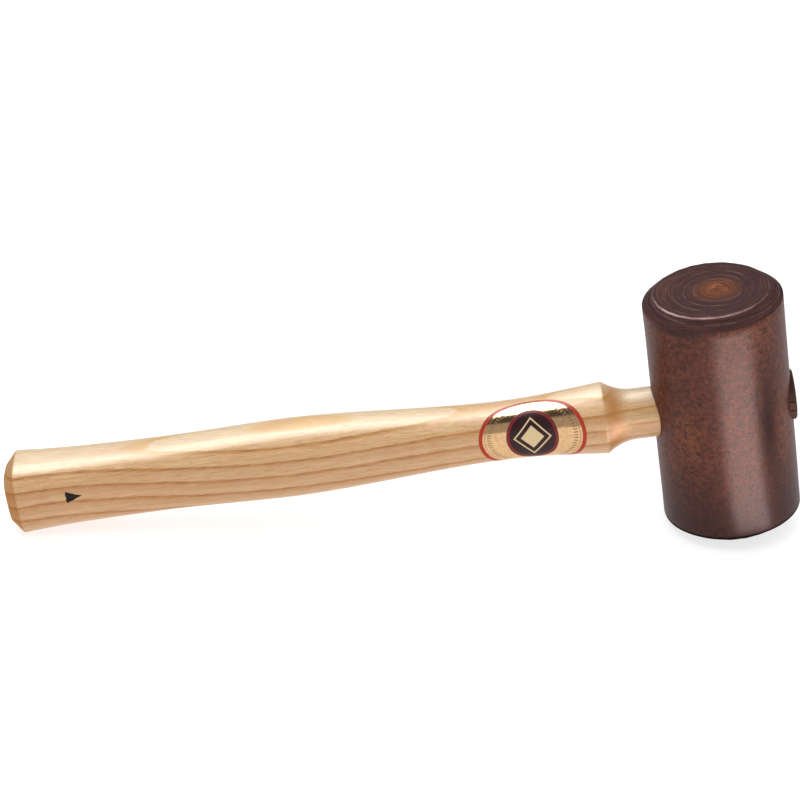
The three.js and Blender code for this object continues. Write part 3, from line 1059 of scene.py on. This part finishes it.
def ease_edges(form, edges, amount, segments=3):
    bmesh.ops.bevel(form, geom=edges, offset=amount, segments=segments, profile=0.5,
                    affect="EDGES", material=-1)


def ring_at(form, x, margin=0.02):
    """The edges of the ring that lies at a place along the handle."""
    return [edge for edge in form.edges if len(edge.link_faces) == 2
            and all(abs(vert.co.x - x) < margin for vert in edge.verts)]


handle_form = draw_out(sections, HANDLE_SIDES)
for place in (SHOULDER, BUTT, BUTT_X + BUTT_DOME):
    ease_edges(handle_form, ring_at(handle_form, place), EDGE_EASE)
print("handle drawn out with", len(handle_form.verts), "vertices")

# %% [markdown]
# ## The wedge
#
# The tenon's end is sawn across, and a hardwood wedge driven into the cut spreads it
# against the bore. Both are the same tapered block, made a little longer and thicker to
# saw the cut, and trimmed to the tenon's round for the wedge. A driven wedge has no sharp
# edges left, so they are softened.

# %% Saw the cut and drive the wedge
WEDGE_LENGTH = 19.0
WEDGE_HEAD = 3.4
WEDGE_TIP = 1.0
CUT_CLEARANCE = 0.06
CUT_RELIEF = 5.0
TRIM = 1
WEDGE_EASE = 0.25
EASED_ANGLE = 0.5


def taper(start, end, start_thickness, end_thickness):
    """A wedge-shaped block across the tenon."""
    form = bmesh.new()
    wide = TENON_RADIUS + OVERRUN
    block(form, (start, -wide, -0.5), (end, wide, 0.5))
    for vert in form.verts:
        vert.co.z *= start_thickness if vert.co.x == start else end_thickness
    return form


flare = (WEDGE_HEAD - WEDGE_TIP) / WEDGE_LENGTH
wedge_tip = tenon_end - WEDGE_LENGTH
cut_tip = WEDGE_TIP + 2 * CUT_CLEARANCE - flare * CUT_RELIEF
cut_mouth = WEDGE_HEAD + 2 * CUT_CLEARANCE + flare * OVERRUN
saw_cut = taper(wedge_tip - CUT_RELIEF, tenon_end + OVERRUN, cut_tip, cut_mouth)
handle_form = carve(handle_form, saw_cut)
set_down("ash_handle", handle_form, ash, "ash", "handle")

wedge_form = taper(wedge_tip, tenon_end, WEDGE_TIP, WEDGE_HEAD)
trimmed_to = rod(TENON_RADIUS, wedge_tip - TRIM, tenon_end + TRIM, HANDLE_SIDES)
wedge_form = carve(wedge_form, trimmed_to, "INTERSECT")
sharp_edges = [edge for edge in wedge_form.edges if edge.calc_face_angle(0) > EASED_ANGLE]
ease_edges(wedge_form, sharp_edges, WEDGE_EASE, segments=2)

# %% [markdown]
# The wedge is a darker wood than the handle, with fibres along its length. Its end was
# dipped together with the head, so the same run of shellac darkens it.

# %% The wedge's wood
WEDGE_DARK, WEDGE_LIGHT = colour(122, 78, 50), colour(164, 112, 74)
WEDGE_DIPPED = colour(78, 46, 36)


def make_wedge_wood():
    material, point = start_material("wedge_wood")
    fibre = point.stretch(0.1, 2.4, 2.4).clouds(1, 4, 0.6)
    base = fibre.rise(0.3, 0.7).blend(WEDGE_DARK, WEDGE_LIGHT)
    base = stained(point).blend(base, WEDGE_DIPPED)
    return finish_material(material, base, fibre * 0.2 + 0.6, fibre, 0.08, **{
        "Specular IOR Level": 0.1})


set_down("driven_wedge", wedge_form, make_wedge_wood(), "wedge_wood", "handle_wedge")

# %% [markdown]
# ## The label
#
# A transfer is a film of varnish and foil floated onto the wood, so it is a thin shell that
# follows the handle exactly. A square grid is drawn into a disc, which keeps all its faces
# even, and each point is then wrapped round the handle by the same section formula. The
# shell carries its own map, so the design bends with it.

# %% Wrap the label round the handle
LABEL_X = -69.2
LABEL_UP = 8.0
LABEL_HALF_LENGTH = 19.4
LABEL_HALF_WIDTH = 15.1
LABEL_ARC_RADIUS = 10.6
LABEL_THICKNESS = 0.07
LABEL_LIFT = 0.01
LABEL_GRID = 56


def wrap(x, arc, lift, middle_up):
    """The point of the handle's near side at a place along it and round it."""
    angle = math.pi - math.radians(middle_up) - arc / LABEL_ARC_RADIUS
    far = reach(shaft_section(x), angle) + lift
    return Vector((x, far * math.cos(angle), far * math.sin(angle)))


def map_label(form):
    """Gives each corner its share of the label's length and width."""
    layer = form.loops.layers.uv.new("label")
    middle = math.pi - math.radians(LABEL_UP)
    for loop in (loop for face in form.faces for loop in face.loops):
        place = loop.vert.co
        arc = (middle - math.atan2(place.z, place.y) % math.tau) * LABEL_ARC_RADIUS
        loop[layer].uv = ((place.x - LABEL_X) / LABEL_HALF_LENGTH / 2 + 0.5,
                          arc / LABEL_HALF_WIDTH / 2 + 0.5)


label_form = bmesh.new()
bmesh.ops.create_grid(label_form, x_segments=LABEL_GRID, y_segments=LABEL_GRID, size=1)
for vert in label_form.verts:
    across, up = vert.co.x, vert.co.y
    round_across = across * math.sqrt(1 - up * up / 2)
    round_up = up * math.sqrt(1 - across * across / 2)
    vert.co = wrap(LABEL_X + LABEL_HALF_LENGTH * round_across, LABEL_HALF_WIDTH * round_up,
                   LABEL_LIFT + LABEL_THICKNESS, LABEL_UP)
bmesh.ops.recalc_face_normals(label_form, faces=label_form.faces)
bmesh.ops.solidify(label_form, geom=label_form.faces, thickness=LABEL_THICKNESS)
bmesh.ops.recalc_face_normals(label_form, faces=label_form.faces)
map_label(label_form)
print("label drawn with", len(label_form.faces), "faces")

# %% [markdown]
# The design is a plain one in the colours that labels of this kind have: a red rim, a
# ground of gold foil, a keyline, a ring of reeding and a dark field with a lozenge. Where
# something is printed the foil is covered, so the same mask that colours the print also
# takes the metal away under it. All measures are in millimetres from the rim inwards, but
# for the field and the lozenge, which are shares of the field's half length and width.

# %% The label's design
LABEL_RIM, RIM_BLUR = 1.4, 0.06
KEYLINE_INSET, KEYLINE_REACH = 0.75, 0.16
REED_INSET, REED_REACH = 2.3, 0.95
REED_COUNT = 74
REED_GAP = (8.5, 9.5)
FIELD_HALF = (9.4, 10.2)
FIELD_EDGE, FIELD_EDGE_REACH = 0.93, 0.07
LOZENGE_LINE, LOZENGE_LINE_REACH = 0.7, 0.06
LOZENGE_HEART = (0.46, 0.44)
GOLD_LIGHT, GOLD_WORN = colour(222, 182, 136), colour(198, 158, 112)
PALE_GOLD = colour(222, 196, 150)
REED_INK, KEYLINE_INK, FIELD_INK = colour(60, 40, 32), colour(84, 54, 40), colour(44, 14, 18)
EDGE_RED, RIM_RED = colour(128, 30, 34), colour(176, 50, 30)


def make_label():
    material, point = start_material("label_foil")
    share = point.add("ShaderNodeUVMap", {"uv_map": "label"})
    u, v, _ = split(share)
    across = (u - 0.5) * (2 * LABEL_HALF_LENGTH)
    up = (v - 0.5) * (2 * LABEL_HALF_WIDTH)
    long_share, wide_share = across / LABEL_HALF_LENGTH, up / LABEL_HALF_WIDTH
    oval = point.math("SQRT", long_share * long_share + wide_share * wide_share)
    middle_distance = point.math("SQRT", across * across + up * up)
    inwards = (1 - oval) / oval.most(0.01) * middle_distance

    rim = inwards.rise(LABEL_RIM + RIM_BLUR, LABEL_RIM - RIM_BLUR)
    keyline = inwards.near(LABEL_RIM + KEYLINE_INSET, KEYLINE_REACH)
    around = point.math("ARCTAN2", wide_share, long_share)
    reeds = (around * (REED_COUNT / math.tau)).fraction().near(0.5, 0.3)
    reeding = reeds * inwards.near(LABEL_RIM + REED_INSET, REED_REACH).rise(0.1, 0.3)
    reeding = reeding * across.absolute().rise(*REED_GAP)
    field_across, field_up = across / FIELD_HALF[0], up / FIELD_HALF[1]
    field_oval = point.math("SQRT", field_across * field_across + field_up * field_up)
    field = field_oval.rise(1.01, 0.99)
    edge = field_oval.near(FIELD_EDGE, FIELD_EDGE_REACH).rise(0.1, 0.4)
    lozenge = field_across.absolute() + field_up.absolute()
    line = lozenge.near(LOZENGE_LINE, LOZENGE_LINE_REACH).rise(0.1, 0.5)
    heart = lozenge.rise(*LOZENGE_HEART)

    wear = point.clouds(1.1, 4, 0.6)
    gold = wear.rise(0.3, 0.8).blend(GOLD_LIGHT, GOLD_WORN)
    base = (reeding * 0.85).blend(gold, REED_INK)
    base = (keyline * 0.8).blend(base, KEYLINE_INK)
    base = field.blend(base, FIELD_INK)
    base = edge.blend(base, EDGE_RED)
    base = line.most(heart).blend(base, PALE_GOLD)
    base = rim.blend(base, RIM_RED)

    printed = rim.most(field).most(reeding).most(keyline)
    rough = wear * 0.08 + 0.12 + printed * 0.3
    height = printed * 0.6 + wear * 0.1
    return finish_material(material, base, rough, height, 0.02, **{
        "Metallic": 1 - printed, "Specular IOR Level": 0.2,
        "Coat Weight": 0.15, "Coat Roughness": 0.12})


set_down("oval_label", label_form, make_label(), "label")

# %% [markdown]
# ## The ink mark
#
# A small mark is stamped near the butt. It is drawn as a plain triangle, a film thinner than
# the label, uneven at its edge where the ink ran along the grain.

# %% Stamp the mark
MARK_X = -237.0
MARK_UP = 9.0
MARK_SIZE = (3.9, 2.3)
MARK_THICKNESS = 0.03
MARK_CUTS = 11
INK_RUN, INK_WAVES, INK_LAYER = 0.16, 3, 4

mark_form = bmesh.new()
bmesh.ops.create_circle(mark_form, cap_ends=True, segments=3, radius=1)
bmesh.ops.subdivide_edges(mark_form, edges=mark_form.edges, cuts=MARK_CUTS)
bmesh.ops.triangulate(mark_form, faces=mark_form.faces)
for vert in mark_form.verts:
    edge_noise = noise.noise(Vector((INK_WAVES * vert.co.x, INK_WAVES * vert.co.y, INK_LAYER)))
    run = 1 + INK_RUN * edge_noise
    along, down = MARK_SIZE[0] * run * vert.co.y, MARK_SIZE[1] * run * vert.co.x
    vert.co = wrap(MARK_X + along, -down, LABEL_LIFT + MARK_THICKNESS, MARK_UP)
bmesh.ops.solidify(mark_form, geom=mark_form.faces, thickness=MARK_THICKNESS)
bmesh.ops.recalc_face_normals(mark_form, faces=mark_form.faces)


INK_DARK, INK_WORN = colour(24, 16, 18), colour(60, 40, 36)


def make_ink():
    material, point = start_material("ink")
    fibre = point.stretch(0.4, 3, 3).clouds(1, 3, 0.6)
    base = fibre.rise(0.4, 0.8).blend(INK_DARK, INK_WORN)
    return finish_material(material, base, fibre * 0.2 + 0.6, **{"Specular IOR Level": 0.2})


set_down("stamped_mark", mark_form, make_ink(), "ink")

# %% [markdown]
# ## The studio
#
# The photograph has a white ground and big soft lights. The floor is a pale sheet that
# glows a little, as if it were lit from below, so it stays nearly white and keeps only a
# trace of shadow. Four lamps light the mallet. A wide one overhead and a fill in front give
# the light, and the fill has no shine of its own. The other two are there for the gloss
# alone, as a photographer adds a white card that is only seen in the varnish: the streak
# along the top of the handle, and a card that lies before the head.

# %% Floor and lamps
FLOOR_SIZE = 8.0
FLOOR_GREY = colour(170, 170, 170)
FLOOR_ROUGHNESS = 0.8
FLOOR_GLOW = 0.75
WHITE = (1, 1, 1, 1)
LAMPS = {
    "overhead": {"place": (0.0, 0.5, 1.2), "size": (1.5, 0.85), "power": 3.5,
                 "aim": (0.05, 0, 0.03)},
    "fill": {"place": (0.1, -0.5, 1.35), "size": (1.4, 0.8), "power": 7.2,
             "aim": (0.05, 0, 0.05)},
    "streak": {"place": (-0.35, 0.6, 1.2), "size": (1.1, 1.2), "power": 39.0,
               "aim": (-0.03, 0, 0.05)},
}
ONLY_IN_GLOSS = ("streak", "card")
NOT_IN_GLOSS = ("fill",)


def lay_floor():
    form = bmesh.new()
    bmesh.ops.create_grid(form, x_segments=1, y_segments=1, size=FLOOR_SIZE / 2)
    floor = to_object("floor", form)
    material = bpy.data.materials.new("pale_floor")
    material.use_nodes = True
    shader = material.node_tree.nodes["Principled BSDF"].inputs
    shader["Base Color"].default_value = FLOOR_GREY
    shader["Roughness"].default_value = FLOOR_ROUGHNESS
    shader["Emission Color"].default_value = WHITE
    shader["Emission Strength"].default_value = FLOOR_GLOW
    floor.data.materials.append(material)
    return floor


def hang_light(name, place, size, power, aim):
    """A soft rectangular lamp that faces its aim, or lies face up if its aim is None."""
    lamp = bpy.data.lights.new(name, "AREA")
    lamp.shape = "RECTANGLE"
    lamp.size, lamp.size_y = size
    lamp.energy = power
    light = bpy.data.objects.new(name, lamp)
    facing = Matrix.Rotation(math.pi, 4, "X")
    if aim is not None:
        towards = Vector(aim) - Vector(place)
        facing = towards.to_track_quat("-Z", "Y").to_matrix().to_4x4()
    light.matrix_world = Matrix.Translation(place) @ facing
    light.visible_camera = False
    light.visible_diffuse = name not in ONLY_IN_GLOSS
    light.visible_glossy = name not in NOT_IN_GLOSS
    scene.collection.objects.link(light)
    return lamp


lay_floor()
for name, lamp in LAMPS.items():
    hang_light(name, **lamp)
print("lamps:", {name: lamp["power"] for name, lamp in LAMPS.items()})

# %% [markdown]
# The card's mirror image is the upright band on the hide. The side of the head is round, so
# a band of one width on it mirrors a floor that widens with the distance: a fan. The card
# is therefore masked to a fan with soft edges, which starts a little way from the head.

# %% The card before the head
CARD = {"place": (0.2, -0.11, 0.002), "size": (0.34, 0.2), "power": 2.4, "aim": None}
CARD_TINT = (1.0, 0.9, 0.86, 1)
CARD_APEX = (0.124, -0.012)
CARD_LEFT, CARD_RIGHT = math.radians(-8), math.radians(51)
CARD_FADE = math.radians(7)
CARD_START = (0.015, 0.036)


def shape_card(lamp):
    """Masks the card to a fan with soft edges, spread out from its apex."""
    lamp.use_nodes = True
    lamp.node_tree.nodes.clear()
    pen = Wire(lamp.node_tree)
    x, y, _ = split(pen.add("ShaderNodeNewGeometry", out="Position"))
    across, out = x - CARD_APEX[0], CARD_APEX[1] - y
    way = pen.math("ARCTAN2", across, out)
    fan = way.rise(CARD_LEFT - CARD_FADE, CARD_LEFT + CARD_FADE)
    fan = fan * way.rise(CARD_RIGHT + CARD_FADE, CARD_RIGHT - CARD_FADE)
    fan = fan * pen.math("SQRT", across * across + out * out).rise(*CARD_START)
    glow = pen.add("ShaderNodeEmission", None, {"Color": CARD_TINT, "Strength": fan})
    pen.add("ShaderNodeOutputLight", None, {"Surface": glow})


shape_card(hang_light("card", **CARD))
print("card lies", round(CARD["place"][2] / MM), "mm above the floor")

# %% [markdown]
# The room is only a background, and it differs by who looks at it. The camera sees plain
# white. Matt surfaces are lit by an even grey from all sides. The gloss mirrors a room that
# is pale behind, which gives the dark hide its bright rims, dimmer in front, and dark in
# the upper front, which gives the foil of the label its dark band.

# %% The room
AMBIENT = 0.5
ROOM_FRONT, ROOM_BACK = 0.5, 0.85
ROOM_TURN = (-0.2, 0.6)
CEILING_START, CEILING_EDGE, CEILING_DARKNESS = (0.62, 0.8), (0.1, -0.05), 0.86


def paint_room():
    world = bpy.data.worlds.new("room")
    world.use_nodes = True
    scene.world = world
    world.node_tree.nodes.clear()
    pen = Wire(world.node_tree)
    way = pen.add("ShaderNodeTexCoord", out="Generated")
    _, back, up = split(way)
    dark_ceiling = up.rise(*CEILING_START) * back.rise(*CEILING_EDGE)
    in_gloss = pen.add("ShaderNodeLightPath", out="Is Glossy Ray")
    mirrored = back.rise(*ROOM_TURN, ROOM_FRONT, ROOM_BACK)
    mirrored = mirrored * (1 - dark_ceiling * CEILING_DARKNESS)
    strength = in_gloss * mirrored + (1 - in_gloss) * AMBIENT
    lit = pen.add("ShaderNodeBackground", None, {"Color": WHITE, "Strength": strength})
    seen = pen.add("ShaderNodeBackground", None, {"Color": WHITE, "Strength": 1.0})
    camera_ray = pen.add("ShaderNodeLightPath", out="Is Camera Ray")
    both = pen.add("ShaderNodeMixShader", None, {0: camera_ray, 1: lit, 2: seen})
    pen.add("ShaderNodeOutputWorld", None, {"Surface": both})


paint_room()
scene.view_settings.view_transform = "Standard"
print("room painted, ambient light", AMBIENT)
